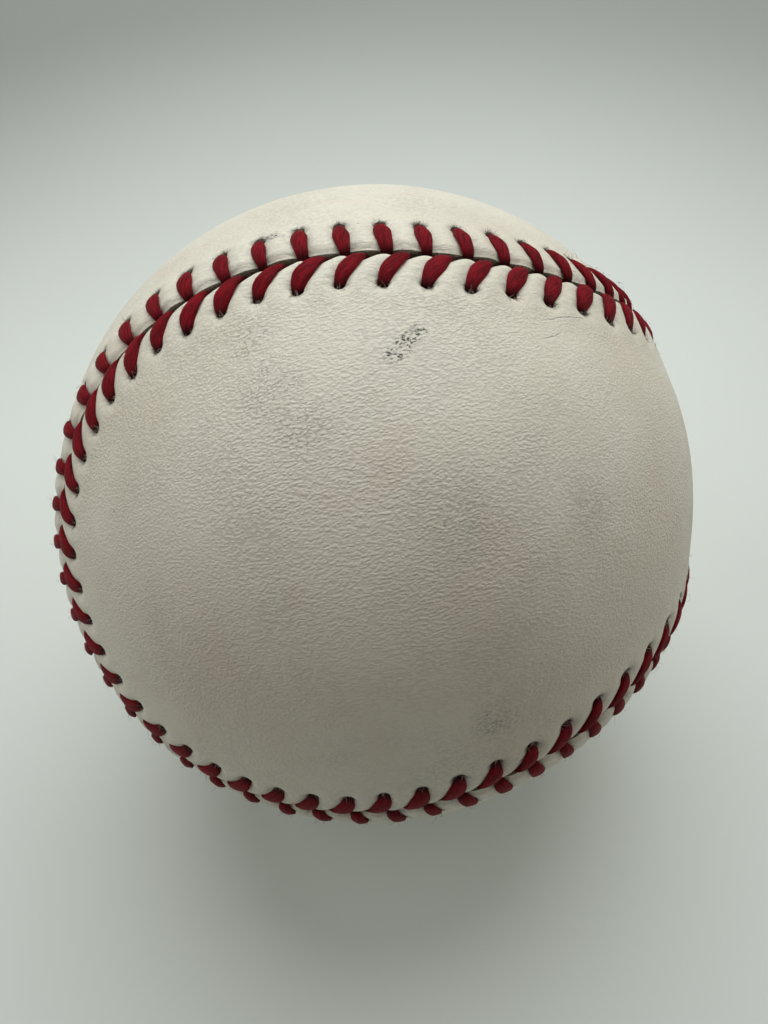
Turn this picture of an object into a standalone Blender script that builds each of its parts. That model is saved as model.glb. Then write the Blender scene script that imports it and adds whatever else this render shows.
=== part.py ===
"""A baseball, built from the inside out: a cork and rubber pill, four layers of wound yarn,
two figure-eight cowhide panels, and one thread that laces the panels edge to edge.

Units are metres and +Z is up. The ball's centre is the origin. The seam is a closed curve
whose poles are on the X axis: panel A has its waist at +X and panel B has its waist at -X.
A place on the cover is told by its turn along the seam, counted in stitches, by its
distance across from the seam's centre line, positive towards panel A, and by its radius.
"""

import math

import bmesh
import bpy
import numpy as np

# The pill and the yarn: each build is what that layer adds to the ball's radius.
CORE_RADIUS = 0.0103
BLACK_RUBBER_BUILD = 0.0040
RED_RUBBER_BUILD = 0.0024
FIRST_YARN_BUILD = 0.0145
SECOND_YARN_BUILD = 0.0018
THIRD_YARN_BUILD = 0.0022
FINISHING_YARN_BUILD = 0.0005
LAYER_GAP = 0.00025
WASHER_HEIGHT = 0.0010
YARN_TAIL_CHANNEL = 0.0018

# The cover.
LEATHER = 0.0012
HOLE_OFFSET = 0.0045
LIFT_RAMP = 0.0040
FACET = 0.0056

# The seam's shape, as angles: how far it swings from pole to pole, and how far round it.
SWING = 1.211
SWING_THIRD = -0.061
TWIST = 0.353
TWIST_FOURTH = -0.016

# The stitching: leads are how far each panel's stitches lean along the seam, in stitches.
STITCHES = 108
FIRST_HOLE = 0.70
LEAD_A = 0.75
LEAD_B = 0.25
THREAD_WIDTH = 0.0016
THREAD_THICKNESS = 0.0005
THREAD_GAP = 0.00015
HOLE_SIDE_GAP = 0.00025
HOLE_FLAT_GAP = 0.00045
SEAM_SIDE_GAP = 0.00045

# Radii that follow from the builds.
BLACK_RUBBER_RADIUS = CORE_RADIUS + BLACK_RUBBER_BUILD
PILL_RADIUS = BLACK_RUBBER_RADIUS + RED_RUBBER_BUILD
FIRST_YARN_RADIUS = PILL_RADIUS + FIRST_YARN_BUILD
SECOND_YARN_RADIUS = FIRST_YARN_RADIUS + SECOND_YARN_BUILD
THIRD_YARN_RADIUS = SECOND_YARN_RADIUS + THIRD_YARN_BUILD
YARN_RADIUS = THIRD_YARN_RADIUS + FINISHING_YARN_BUILD
COVER_INSIDE = YARN_RADIUS + LAYER_GAP
COVER_RADIUS = COVER_INSIDE + LEATHER

# Beside the seam the leather is lifted by the runs of thread that pass under it.
LEATHER_LIFT = THREAD_THICKNESS + 2 * THREAD_GAP - LAYER_GAP
THREAD_UNDER = YARN_RADIUS + THREAD_GAP + THREAD_THICKNESS / 2
THREAD_OVER = COVER_RADIUS + LEATHER_LIFT + THREAD_GAP + THREAD_THICKNESS / 2
SEAM_GAP = THREAD_THICKNESS + 2 * SEAM_SIDE_GAP
HOLE_ALONG = THREAD_WIDTH + 2 * HOLE_SIDE_GAP
HOLE_ACROSS = THREAD_THICKNESS + 2 * HOLE_FLAT_GAP

# Fineness of the curved surfaces.
SPHERE_SUBDIVISIONS = 3
SEAM_SAMPLES = 14400
QUARTER = STITCHES // 4
SMOOTH_ANGLE = math.radians(40)
EQUATOR_WIDTH = 1e-5


# ---------------------------------------------------------------- the seam's geometry


def unit(vectors):
    return vectors / np.linalg.norm(vectors, axis=-1, keepdims=True)


def seam_at_angle(angle):
    """Points of the seam on the unit sphere. It closes after an angle of four pi."""
    polar = math.pi / 2 - (SWING * np.cos(angle) + SWING_THIRD * np.cos(3 * angle))
    round_axis = angle / 2 + TWIST * np.sin(2 * angle) + TWIST_FOURTH * np.sin(4 * angle)
    round_axis = round_axis + math.pi / 4
    return np.stack(
        [
            np.cos(polar),
            np.sin(polar) * np.cos(round_axis),
            np.sin(polar) * np.sin(round_axis),
        ],
        axis=-1,
    )


def measured_seam():
    """The seam's angle at even steps, and the distance to each, from 0 to 1 all round."""
    angles = np.linspace(0, 4 * math.pi, SEAM_SAMPLES + 1)
    steps = np.linalg.norm(np.diff(seam_at_angle(angles), axis=0), axis=1)
    distance = np.concatenate([[0], np.cumsum(steps)])
    return angles, distance / distance[-1], distance[-1]


SEAM_ANGLES, SEAM_SHARES, SEAM_LENGTH = measured_seam()
PITCH = SEAM_LENGTH * COVER_RADIUS / STITCHES


def seam_frame(turn):
    """The seam's point, its direction of travel and the direction towards panel A."""
    share = np.mod(np.asarray(turn, float) / STITCHES, 1)
    angle = np.interp(share, SEAM_SHARES, SEAM_ANGLES)
    step = 2 * math.pi / SEAM_SAMPLES
    point = seam_at_angle(angle)
    along = unit(seam_at_angle(angle + step) - seam_at_angle(angle - step))
    return point, along, np.cross(point, along)


def on_cover(turn, across):
    """Directions from the ball's centre to places told by turn and distance across."""
    point, _, towards_a = seam_frame(turn)
    tilt = np.asarray(across, float)[..., None] / COVER_RADIUS
    return point * np.cos(tilt) + towards_a * np.sin(tilt)


# ---------------------------------------------------------------- building solids


def clear_scene():
    for obj in list(bpy.data.objects):
        bpy.data.objects.remove(obj, do_unlink=True)


def plain_material(name, colour, roughness):
    material = bpy.data.materials.new(name)
    material.use_nodes = True
    shader = material.node_tree.nodes["Principled BSDF"]
    shader.inputs["Base Color"].default_value = (*colour, 1)
    shader.inputs["Roughness"].default_value = roughness
    shader.inputs["Metallic"].default_value = 0
    return material


def add_object(name, points, faces, colour, roughness):
    mesh = bpy.data.meshes.new(name)
    mesh.from_pydata([tuple(point) for point in points], [], faces)
    mesh.validate()
    mesh.shade_smooth()
    mesh.set_sharp_from_angle(angle=SMOOTH_ANGLE)
    mesh.materials.append(plain_material(name, colour, roughness))
    obj = bpy.data.objects.new(name, mesh)
    bpy.context.scene.collection.objects.link(obj)
    return obj


def boundary_edges(faces):
    """The directed edges that only one face uses."""
    edges = [edge for face in faces for edge in zip(face, face[1:] + face[:1])]
    used = set(edges)
    return [(a, b) for a, b in edges if (b, a) not in used]


def add_shell(name, faces, outside, inside, colour, roughness):
    """A wall between two surfaces of the same faces, closed along every open edge."""
    count = len(outside)
    lining = [tuple(corner + count for corner in reversed(face)) for face in faces]
    rims = [(b, a, a + count, b + count) for a, b in boundary_edges(faces)]
    points = np.concatenate([outside, inside])
    return add_object(name, points, faces + lining + rims, colour, roughness)


def sphere_grid():
    """The directions and faces of a ball whose faces don't cross its equator."""
    grid = bmesh.new()
    bmesh.ops.create_icosphere(grid, subdivisions=SPHERE_SUBDIVISIONS, radius=1)
    directions = np.array([vert.co[:] for vert in grid.verts])
    faces = [tuple(vert.index for vert in face.verts) for face in grid.faces]
    grid.free()
    return unit(directions), faces


# ---------------------------------------------------------------- pill


def add_core(directions, faces):
    points = directions * CORE_RADIUS
    add_object("cork_core", points, faces, (0.36, 0.22, 0.13), 0.85)


def half_ball(directions, faces, top):
    """The directions and faces on one side of the equator, and which are on it."""
    heights = directions[:, 2] if top else -directions[:, 2]
    kept = [face for face in faces if min(heights[list(face)]) > -EQUATOR_WIDTH]
    used = sorted({corner for face in kept for corner in face})
    index = {corner: place for place, corner in enumerate(used)}
    kept = [tuple(index[corner] for corner in face) for face in kept]
    return directions[used], kept, np.abs(heights[used]) < EQUATOR_WIDTH


def trimmed(directions, at_rim, radius, rim_height, top):
    """The half ball at this radius, with its rim moved up or down it to rim_height."""
    points = directions * radius
    rim = unit(directions[at_rim]) * math.sqrt(radius**2 - rim_height**2)
    rim[:, 2] = rim_height if top else -rim_height
    points[at_rim] = rim
    return points


def add_rubber_half(name, grid, top, radii, rim_height, colour):
    directions, faces, at_rim = half_ball(*grid, top)
    inside, outside = (
        trimmed(directions, at_rim, radius, rim_height, top) for radius in radii
    )
    add_shell(name, faces, outside, inside, colour, 0.6)


def add_washer(directions):
    """A flat ring between the rims of the two black halves."""
    rim = directions[np.abs(directions[:, 2]) < EQUATOR_WIDTH]
    rim = rim[np.argsort(np.arctan2(rim[:, 1], rim[:, 0]))]
    count = len(rim)
    up = np.array([0, 0, WASHER_HEIGHT / 2])
    inner = rim * (CORE_RADIUS + LAYER_GAP)
    outer = rim * BLACK_RUBBER_RADIUS
    loops = [inner - up, outer - up, outer + up, inner + up]
    faces = []
    for ring in range(4):
        start, following = ring * count, (ring + 1) % 4 * count
        for place in range(count):
            after = (place + 1) % count
            faces.append((start + place, start + after, following + after, following + place))
    add_object("rubber_washer", np.concatenate(loops), faces, (0.42, 0.05, 0.04), 0.6)


def add_pill(grid):
    add_core(*grid)
    black = (CORE_RADIUS + LAYER_GAP, BLACK_RUBBER_RADIUS)
    red = (BLACK_RUBBER_RADIUS + LAYER_GAP, PILL_RADIUS)
    black_rim = WASHER_HEIGHT / 2 + LAYER_GAP
    red_rim = LAYER_GAP / 2
    for end, top in (("upper", True), ("lower", False)):
        dark = (0.02, 0.02, 0.022)
        add_rubber_half(f"inner_rubber_{end}", grid, top, black, black_rim, dark)
        bright = (0.45, 0.05, 0.04)
        add_rubber_half(f"outer_rubber_{end}", grid, top, red, red_rim, bright)
    add_washer(grid[0])


# ---------------------------------------------------------------- windings


def small_triangle(corners):
    """A triangle inside this one, as large as the channel for a yarn's buried tail."""
    middle = corners.mean(axis=0)
    return middle + unit(corners - middle) * YARN_TAIL_CHANNEL / 2


def add_winding(name, grid, inside_radius, outside_radius, channel_face, colour):
    """A layer of wound yarn, with a narrow channel where the yarn's tail goes in."""
    directions, faces = grid
    count = len(directions)
    a, b, c = faces[channel_face]
    faces = faces[:channel_face] + faces[channel_face + 1 :]
    for low, high, low_in, high_in in ((a, b, 0, 1), (b, c, 1, 2), (c, a, 2, 0)):
        faces.append((low, high, count + high_in, count + low_in))
    surfaces = []
    for radius in (outside_radius, inside_radius):
        points = directions * radius
        surfaces.append(np.concatenate([points, small_triangle(points[[a, b, c]])]))
    add_shell(name, faces, *surfaces, colour, 0.95)


def add_windings(grid):
    layers = (
        ("first_winding", PILL_RADIUS, FIRST_YARN_RADIUS, (0.30, 0.33, 0.37)),
        ("second_winding", FIRST_YARN_RADIUS, SECOND_YARN_RADIUS, (0.80, 0.78, 0.72)),
        ("third_winding", SECOND_YARN_RADIUS, THIRD_YARN_RADIUS, (0.36, 0.36, 0.37)),
        ("finishing_winding", THIRD_YARN_RADIUS, YARN_RADIUS, (0.86, 0.84, 0.78)),
    )
    spacing = len(grid[1]) // len(layers)
    for place, (name, below, top, colour) in enumerate(layers):
        add_winding(name, grid, below + LAYER_GAP, top, place * spacing, colour)


# ---------------------------------------------------------------- cover panels


def zip_rows(low, high, low_at, high_at):
    """Triangles between two rows of corners, which lie at rising positions."""
    faces = []
    i = j = 0
    while i < len(low) - 1 or j < len(high) - 1:
        at_end = j == len(high) - 1
        if at_end or (i < len(low) - 1 and low_at[i + 1] <= high_at[j + 1]):
            faces.append((low[i], low[i + 1], high[j]))
            i += 1
        else:
            faces.append((low[i], high[j + 1], high[j]))
            j += 1
    return faces


def closed_row(corners, turns):
    return list(corners) + [corners[0]], list(turns) + [turns[0] + STITCHES]


class Panel:
    """Corners and faces of one panel's surface, seen from outside.

    side is 1 for panel A and -1 for panel B, whose waist is a quarter of the seam further on.
    """

    def __init__(self, side):
        self.side = side
        self.directions = []
        self.lifts = []
        self.faces = []

    def add_corners(self, directions, lift):
        start = len(self.directions)
        self.directions.extend(directions)
        self.lifts.extend([lift] * len(directions))
        return list(range(start, start + len(directions)))

    def add_row(self, turns, distance, lift):
        across = np.full(len(turns), self.side * distance)
        return self.add_corners(on_cover(turns, across), lift)

    def join_closed(self, low, low_turns, high, high_turns):
        low, low_turns = closed_row(low, low_turns)
        high, high_turns = closed_row(high, high_turns)
        self.faces += zip_rows(low, high, low_turns, high_turns)

    def add_edge_band(self):
        """The lifted band beside the seam, with its holes. Returns its innermost row."""
        stitches = np.arange(STITCHES) + FIRST_HOLE
        bridges = stitches + 0.5
        half_hole = HOLE_ALONG / PITCH / 2
        hole_sides = np.stack([stitches - half_hole, stitches + half_hole], axis=1).ravel()
        edge = self.add_row(bridges, SEAM_GAP / 2, 1)
        near = self.add_row(hole_sides, HOLE_OFFSET - HOLE_ACROSS / 2, 1)
        far = self.add_row(hole_sides, HOLE_OFFSET + HOLE_ACROSS / 2, 1)
        self.join_closed(edge, bridges, near, hole_sides)
        for stitch in range(STITCHES):
            start = 2 * stitch + 1
            after = (start + 1) % len(near)
            self.faces.append((near[start], near[after], far[after], far[start]))
        flat_turns = np.arange(STITCHES)
        flat = self.add_row(flat_turns, HOLE_OFFSET + LIFT_RAMP, 0)
        self.join_closed(far, hole_sides, flat, flat_turns)
        return flat

    def add_field(self, flat):
        """Ribs across the panel, from one tip of the figure eight to the other."""
        shift = 0 if self.side > 0 else QUARTER
        ribs = []
        for place in range(-QUARTER, QUARTER + 1):
            start = flat[(shift + place) % STITCHES]
            end = flat[(shift + 2 * QUARTER - place) % STITCHES]
            ribs.append(self.add_rib(start, end))
        for rib, following in zip(ribs, ribs[1:]):
            shares = [np.linspace(0, 1, len(row)) for row in (following, rib)]
            self.faces += zip_rows(following, rib, *shares)

    def add_rib(self, start, end):
        if start == end:
            return [start]
        first, last = self.directions[start], self.directions[end]
        span = math.acos(float(np.dot(first, last)))
        cells = max(1, round(span * COVER_RADIUS / FACET))
        shares = np.arange(1, cells)[:, None] / cells
        middle = np.sin((1 - shares) * span) * first + np.sin(shares * span) * last
        return [start] + self.add_corners(middle / math.sin(span), 0) + [end]

    def add_solid(self, name, colour):
        self.add_field(self.add_edge_band())
        lift = np.array(self.lifts)[:, None] * LEATHER_LIFT
        directions = np.array(self.directions)
        if self.side < 0:
            self.faces = [tuple(reversed(face)) for face in self.faces]
        outside = directions * (COVER_RADIUS + lift)
        inside = directions * (COVER_INSIDE + lift)
        add_shell(name, self.faces, outside, inside, colour, 0.55)


# ---------------------------------------------------------------- seam thread


def stitch_run(first_side):
    """One needle's run all round the seam: (turn, across, radius) at each bend.

    Each stitch comes up through a hole, crosses to the seam, dives through it and passes
    under the other panel to that panel's next hole.
    """
    run = []
    for number in range(STITCHES):
        side = first_side if number % 2 == 0 else -first_side
        lead = LEAD_A if side > 0 else LEAD_B
        turn = FIRST_HOLE - number
        run.append((turn, side * HOLE_OFFSET, THREAD_UNDER))
        run.append((turn, side * HOLE_OFFSET, THREAD_OVER))
        run.append((turn - lead, 0.0, THREAD_OVER))
        run.append((turn - lead, 0.0, THREAD_UNDER))
    tucked_end = (turn - lead, 0.0, (THREAD_OVER + THREAD_UNDER) / 2)
    return run[:-1] + [tucked_end]


def thread_route():
    """Both runs, joined by the thread's middle, which lies under the first two holes."""
    middle = (FIRST_HOLE + 1 - LEAD_A, 0.0, THREAD_UNDER)
    return stitch_run(-1)[::-1] + [middle] + stitch_run(1)


def level_sides(route):
    """For each stretch, the level direction across the ribbon, which points back along the
    seam. A stretch that goes straight through the leather has none."""
    turns, across = route[:, 0], route[:, 1]
    ahead = np.stack([np.diff(across), np.diff(turns) * PITCH], axis=1)
    length = np.linalg.norm(ahead, axis=1, keepdims=True)
    straight_through = length[:, 0] < THREAD_GAP
    ahead = ahead / np.where(straight_through[:, None], 1, length)
    sides = np.stack([ahead[:, 1], -ahead[:, 0]], axis=1)
    sides = np.where(sides[:, 1:] > 0, -sides, sides)
    sides[straight_through] = (0, -1)
    return sides


def ribbon_rings(route):
    """The four corners of the flat thread at each point of its route."""
    route = np.array(route)
    turns, across, radius = route.T
    point, along, towards_a = seam_frame(turns)
    tilt = (across / COVER_RADIUS)[:, None]
    outward = point * np.cos(tilt) + towards_a * np.sin(tilt)
    sideways = towards_a * np.cos(tilt) - point * np.sin(tilt)
    centres = outward * radius[:, None]
    sides = level_sides(route)
    sides = unit(np.concatenate([sides[:1], sides[:-1] + sides[1:], sides[-1:]]))
    wide = sides[:, :1] * sideways + sides[:, 1:] * along
    steps = unit(np.diff(centres, axis=0))
    before = np.concatenate([steps[:1], steps])
    after = np.concatenate([steps, steps[-1:]])
    heading = unit(before + after)
    thick = unit(np.cross(heading, wide))
    mitre = 1 / np.sum(heading * after, axis=1, keepdims=True)
    wide = wide * THREAD_WIDTH / 2
    thick = thick * mitre * THREAD_THICKNESS / 2
    corners = [wide + thick, thick - wide, -wide - thick, wide - thick]
    return np.stack([centres + corner for corner in corners], axis=1)


def add_thread():
    rings = ribbon_rings(thread_route())
    count = len(rings)
    faces = [(3, 2, 1, 0)]
    for ring in range(count - 1):
        for side in range(4):
            here, beside = 4 * ring + side, 4 * ring + (side + 1) % 4
            faces.append((here, beside, beside + 4, here + 4))
    last = 4 * (count - 1)
    faces.append((last, last + 1, last + 2, last + 3))
    add_object("seam_thread", rings.reshape(-1, 3), faces, (0.52, 0.02, 0.04), 0.7)


def main():
    clear_scene()
    grid = sphere_grid()
    add_pill(grid)
    add_windings(grid)
    Panel(1).add_solid("cover_panel_a", (0.80, 0.77, 0.69))
    Panel(-1).add_solid("cover_panel_b", (0.80, 0.77, 0.69))
    add_thread()


main()
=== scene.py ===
"""The looks of the baseball: detailed leather, laced thread and stray fibres on the CAD frame.

Lengths are metres. A place on the cover is told as in the CAD: its turn along the seam,
counted in stitches, its distance across from the seam's centre line, positive towards
panel A, and its radius. MM turns a length in millimetres into metres.
"""

import math

import bpy
import numpy as np
from mathutils import Matrix, Vector


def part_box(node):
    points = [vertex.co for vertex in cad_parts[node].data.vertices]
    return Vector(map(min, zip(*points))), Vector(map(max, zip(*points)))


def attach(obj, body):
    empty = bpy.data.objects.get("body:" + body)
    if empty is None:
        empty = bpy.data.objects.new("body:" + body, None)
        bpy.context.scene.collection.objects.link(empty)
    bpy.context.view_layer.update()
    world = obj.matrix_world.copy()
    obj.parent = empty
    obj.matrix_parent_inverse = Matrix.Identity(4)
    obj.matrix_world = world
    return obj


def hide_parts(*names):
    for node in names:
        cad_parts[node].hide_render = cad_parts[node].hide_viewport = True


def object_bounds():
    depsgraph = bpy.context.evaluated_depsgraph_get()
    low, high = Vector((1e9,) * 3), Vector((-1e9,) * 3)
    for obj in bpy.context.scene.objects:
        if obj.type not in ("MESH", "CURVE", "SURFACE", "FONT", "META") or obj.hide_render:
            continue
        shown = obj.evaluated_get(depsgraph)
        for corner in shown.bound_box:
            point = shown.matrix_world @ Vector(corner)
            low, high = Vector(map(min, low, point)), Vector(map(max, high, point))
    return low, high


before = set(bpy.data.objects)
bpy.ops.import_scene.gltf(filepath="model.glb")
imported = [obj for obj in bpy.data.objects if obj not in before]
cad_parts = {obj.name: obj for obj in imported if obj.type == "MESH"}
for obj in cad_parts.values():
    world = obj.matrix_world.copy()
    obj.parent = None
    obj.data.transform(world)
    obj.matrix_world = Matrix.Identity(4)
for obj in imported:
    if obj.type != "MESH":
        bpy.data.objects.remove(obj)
CAD_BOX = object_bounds()

MM = 0.001
RNG = np.random.default_rng(7)

# ---------------------------------------------------------------- the seam and the stitches

# The seam's shape is the CAD's. It was fitted to the seam, holes and outline in the photo.
SWING = 1.211
SWING_THIRD = -0.061
TWIST = 0.353
TWIST_FOURTH = -0.016
STITCHES = 108
FIRST_HOLE = 0.70
QUARTER = STITCHES // 4
# How far along the seam, in stitches, each side's stitches lean on their way to the gap.
# The CAD has 0.75 and 0.25.
LEADS = {1: 0.64, -1: 0.15}
LEATHER = 1.2 * MM
LAYER_GAP = 0.25 * MM
YARN_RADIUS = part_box("finishing_winding")[1].z
COVER_RADIUS = YARN_RADIUS + LAYER_GAP + LEATHER
# Panel A, the one in front, was sewn a little nearer its edge. The CAD has 4.5 mm for both.
HOLE_OFFSETS = {1: 4.1 * MM, -1: 4.5 * MM}
# The seam is read from a fine polyline.
SEAM_SAMPLES = 14400


def unit(vectors):
    return vectors / np.linalg.norm(vectors, axis=-1, keepdims=True)


def seam_at_angle(angle):
    """Points of the seam on the unit sphere. It closes after an angle of four pi."""
    polar = math.pi / 2 - (SWING * np.cos(angle) + SWING_THIRD * np.cos(3 * angle))
    round_axis = angle / 2 + TWIST * np.sin(2 * angle) + TWIST_FOURTH * np.sin(4 * angle)
    round_axis = round_axis + math.pi / 4
    level = np.sin(polar)
    parts = [np.cos(polar), level * np.cos(round_axis), level * np.sin(round_axis)]
    return np.stack(parts, axis=-1)


def measured_seam():
    angles = np.linspace(0, 4 * math.pi, SEAM_SAMPLES + 1)
    steps = np.linalg.norm(np.diff(seam_at_angle(angles), axis=0), axis=1)
    distance = np.concatenate([[0], np.cumsum(steps)])
    return angles, distance / distance[-1], distance[-1]


SEAM_ANGLES, SEAM_SHARES, SEAM_LENGTH = measured_seam()
PITCH = SEAM_LENGTH * COVER_RADIUS / STITCHES


def seam_frame(turn):
    """The seam's point, its direction of travel and the direction towards panel A."""
    share = np.mod(np.asarray(turn, float) / STITCHES, 1)
    angle = np.interp(share, SEAM_SHARES, SEAM_ANGLES)
    step = 2 * math.pi / SEAM_SAMPLES
    point = seam_at_angle(angle)
    along = unit(seam_at_angle(angle + step) - seam_at_angle(angle - step))
    return point, along, np.cross(point, along)


def on_cover(turn, across):
    """Directions from the ball's centre to places told by turn and distance across."""
    point, _, towards_a = seam_frame(turn)
    tilt = np.asarray(across, float)[..., None] / COVER_RADIUS
    return point * np.cos(tilt) + towards_a * np.sin(tilt)


# ---------------------------------------------------------------- camera, lights and floor

# The camera's place and axes, in ball radii, and its lens come from that same fit.
CAMERA_PLACE = (-0.2131, -1.6475, 2.2094)
CAMERA_RIGHT = (0.9724, -0.2249, -0.0631)
CAMERA_TOWARD = (-0.0833, -0.5862, 0.8059)
CAMERA_LENS = 28.84
CAMERA_SENSOR = 36.0
CAMERA_NEAR = 5 * MM

SOFT_WHITE = (0.97, 1.0, 0.985)
# Each light's name, place, width and power. They all face the ball.
LIGHTS = (
    ("key_light", (0.10, 0.31, 0.48), 0.66, 3.10),
    ("left_light", (-0.43, 0.13, 0.30), 0.54, 0.88),
    ("right_light", (0.45, 0.01, 0.27), 0.48, 0.68),
)
WORLD_COLOUR = (1.0, 0.90, 0.77, 1)
WORLD_STRENGTH = 0.125

FLOOR_COLOUR = (0.70, 0.745, 0.71, 1)
FLOOR_REACH = 0.9
FLOOR_CELLS = 48
# The floor's colour holds a painted pool of light: brightest within one radius of this place, and
# dimmest past the other.
PAINTED_LIGHT_PLACE = (-0.014, -0.006, 0.0)
PAINTED_LIGHT_RADIUS = 0.07
PAINTED_FALLOFF_RADIUS = 0.27
PAINTED_FALLOFF_SHARE = 0.40


def add_camera():
    data = bpy.data.cameras.new("camera")
    data.lens = CAMERA_LENS
    data.sensor_width = CAMERA_SENSOR
    data.clip_start = CAMERA_NEAR
    camera = bpy.data.objects.new("camera", data)
    back = Vector(CAMERA_TOWARD).normalized()
    right = (Vector(CAMERA_RIGHT) - back * back.dot(Vector(CAMERA_RIGHT))).normalized()
    turned = Matrix((right, back.cross(right), back)).transposed().to_4x4()
    camera.matrix_world = Matrix.Translation(Vector(CAMERA_PLACE) * COVER_RADIUS) @ turned
    bpy.context.scene.collection.objects.link(camera)
    bpy.context.scene.camera = camera


def add_area_light(name, place, size, power):
    data = bpy.data.lights.new(name, "AREA")
    data.shape = "DISK"
    data.size = size
    data.energy = power
    data.color = SOFT_WHITE
    light = bpy.data.objects.new(name, data)
    light.location = place
    light.rotation_mode = "QUATERNION"
    light.rotation_quaternion = Vector(place).to_track_quat("Z", "Y")
    bpy.context.scene.collection.objects.link(light)


def add_lights():
    for light in LIGHTS:
        add_area_light(*light)
    world = bpy.data.worlds.new("studio")
    world.use_nodes = True
    background = world.node_tree.nodes["Background"]
    background.inputs["Color"].default_value = WORLD_COLOUR
    background.inputs["Strength"].default_value = WORLD_STRENGTH
    bpy.context.scene.world = world
    bpy.context.scene.view_settings.view_transform = "Standard"


class Nodes:
    """A material's node tree with short calls for the nodes used here."""

    def __init__(self, name):
        self.material = bpy.data.materials.new(name)
        self.material.use_nodes = True
        self.tree = self.material.node_tree
        self.shader = self.tree.nodes["Principled BSDF"]

    def add(self, kind, settings=None, **inputs):
        node = self.tree.nodes.new(kind)
        for key, value in (settings or {}).items():
            setattr(node, key, value)
        for key, value in inputs.items():
            self.feed(node.inputs[key.replace("_", " ")], value)
        return node

    def feed(self, socket, value):
        if isinstance(value, bpy.types.NodeSocket):
            self.tree.links.new(value, socket)
        else:
            socket.default_value = value

    def place(self, scale=(1, 1, 1), turn=(0, 0, 0)):
        """Object coordinates, scaled and turned."""
        source = self.add("ShaderNodeTexCoord").outputs["Object"]
        mapping = self.add("ShaderNodeMapping", Vector=source)
        mapping.inputs["Scale"].default_value = scale
        mapping.inputs["Rotation"].default_value = turn
        return mapping.outputs["Vector"]

    def noise(self, vector, scale, detail=2.0, rough=0.5, distortion=0.0):
        node = self.add("ShaderNodeTexNoise", Vector=vector, Scale=scale, Detail=detail)
        node.inputs["Roughness"].default_value = rough
        node.inputs["Distortion"].default_value = distortion
        return node.outputs["Fac"]

    def voronoi(self, vector, scale, feature="F1"):
        node = self.add("ShaderNodeTexVoronoi", {"feature": feature}, Vector=vector, Scale=scale)
        return node.outputs["Distance"]

    def between(self, value, low, high, low_out=0.0, high_out=1.0):
        """Maps low..high to low_out..high_out smoothly, and holds beyond them."""
        node = self.add("ShaderNodeMapRange", {"interpolation_type": "SMOOTHSTEP"}, Value=value)
        node.inputs["From Min"].default_value = low
        node.inputs["From Max"].default_value = high
        node.inputs["To Min"].default_value = low_out
        node.inputs["To Max"].default_value = high_out
        return node.outputs["Result"]

    def math(self, operation, first, second=0.0):
        node = self.add("ShaderNodeMath", {"operation": operation})
        self.feed(node.inputs[0], first)
        self.feed(node.inputs[1], second)
        return node.outputs["Value"]

    def mix(self, share, first, second):
        node = self.add("ShaderNodeMix", {"data_type": "RGBA"})
        self.feed(node.inputs["Factor"], share)
        self.feed(node.inputs["A"], first)
        self.feed(node.inputs["B"], second)
        return node.outputs["Result"]

    def attribute(self, name):
        return self.add("ShaderNodeAttribute", {"attribute_name": name}).outputs["Fac"]

    def bump(self, height, strength, distance, normal=None):
        node = self.add("ShaderNodeBump", Height=height, Strength=strength, Distance=distance)
        if normal is not None:
            self.feed(node.inputs["Normal"], normal)
        return node.outputs["Normal"]

    def finish(self, **inputs):
        for key, value in inputs.items():
            self.feed(self.shader.inputs[key.replace("_", " ")], value)
        return self.material


def rgb(red, green, blue):
    return (red, green, blue, 1.0)


def floor_material():
    """A pale sheet with a painted pool of light: its colour is brightest round the ball and falls
    off beyond it.
    """
    nodes = Nodes("pale_table")
    place = nodes.place()
    # Painted pool of light: the colour dims with the distance from the ball.
    far = nodes.add("ShaderNodeVectorMath", {"operation": "DISTANCE"}, Vector=place)
    far.inputs[1].default_value = PAINTED_LIGHT_PLACE
    near = nodes.between(far.outputs["Value"], PAINTED_LIGHT_RADIUS, PAINTED_FALLOFF_RADIUS, 1.0, PAINTED_FALLOFF_SHARE)
    cloud = nodes.between(nodes.noise(place, 9.0, 3.0), 0.3, 0.7, 0.97, 1.0)
    light = nodes.math("MULTIPLY", near, cloud)
    colour = nodes.mix(light, rgb(0, 0, 0), FLOOR_COLOUR)
    return nodes.finish(Base_Color=colour, Roughness=0.55)


def add_floor():
    """A wide level sheet under the ball."""
    count = FLOOR_CELLS
    line = np.linspace(-FLOOR_REACH, FLOOR_REACH, count + 1)
    across, along = np.meshgrid(line, line, indexing="ij")
    height = np.full_like(across, CAD_BOX[0].z)
    points = np.stack([across, along, height], axis=-1).reshape(-1, 3)
    faces = []
    for row in range(count):
        for column in range(count):
            corner = row * (count + 1) + column
            faces.append((corner, corner + count + 1, corner + count + 2, corner + 1))
    floor = new_mesh("floor", points, faces, {}, None, [floor_material()])


# ---------------------------------------------------------------- mesh helpers


def new_mesh(name, points, faces, values, slots, materials):
    """A mesh object. Values are per point, a number or a vector; slots are per face."""
    mesh = bpy.data.meshes.new(name)
    mesh.from_pydata(np.asarray(points).tolist(), [], faces)
    for material in materials:
        mesh.materials.append(material)
    if slots is not None:
        mesh.polygons.foreach_set("material_index", slots)
    for key, value in values.items():
        value = np.asarray(value, np.float32)
        kind, field = ("FLOAT", "value") if value.ndim == 1 else ("FLOAT_VECTOR", "vector")
        mesh.attributes.new(key, kind, "POINT").data.foreach_set(field, value.ravel())
    mesh.shade_smooth()
    obj = bpy.data.objects.new(name, mesh)
    bpy.context.scene.collection.objects.link(obj)
    return obj


def boundary_edges(faces):
    """The directed edges that only one face uses."""
    edges = [edge for face in faces for edge in zip(face, face[1:] + face[:1])]
    used = set(edges)
    return [(a, b) for a, b in edges if (b, a) not in used]


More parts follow.
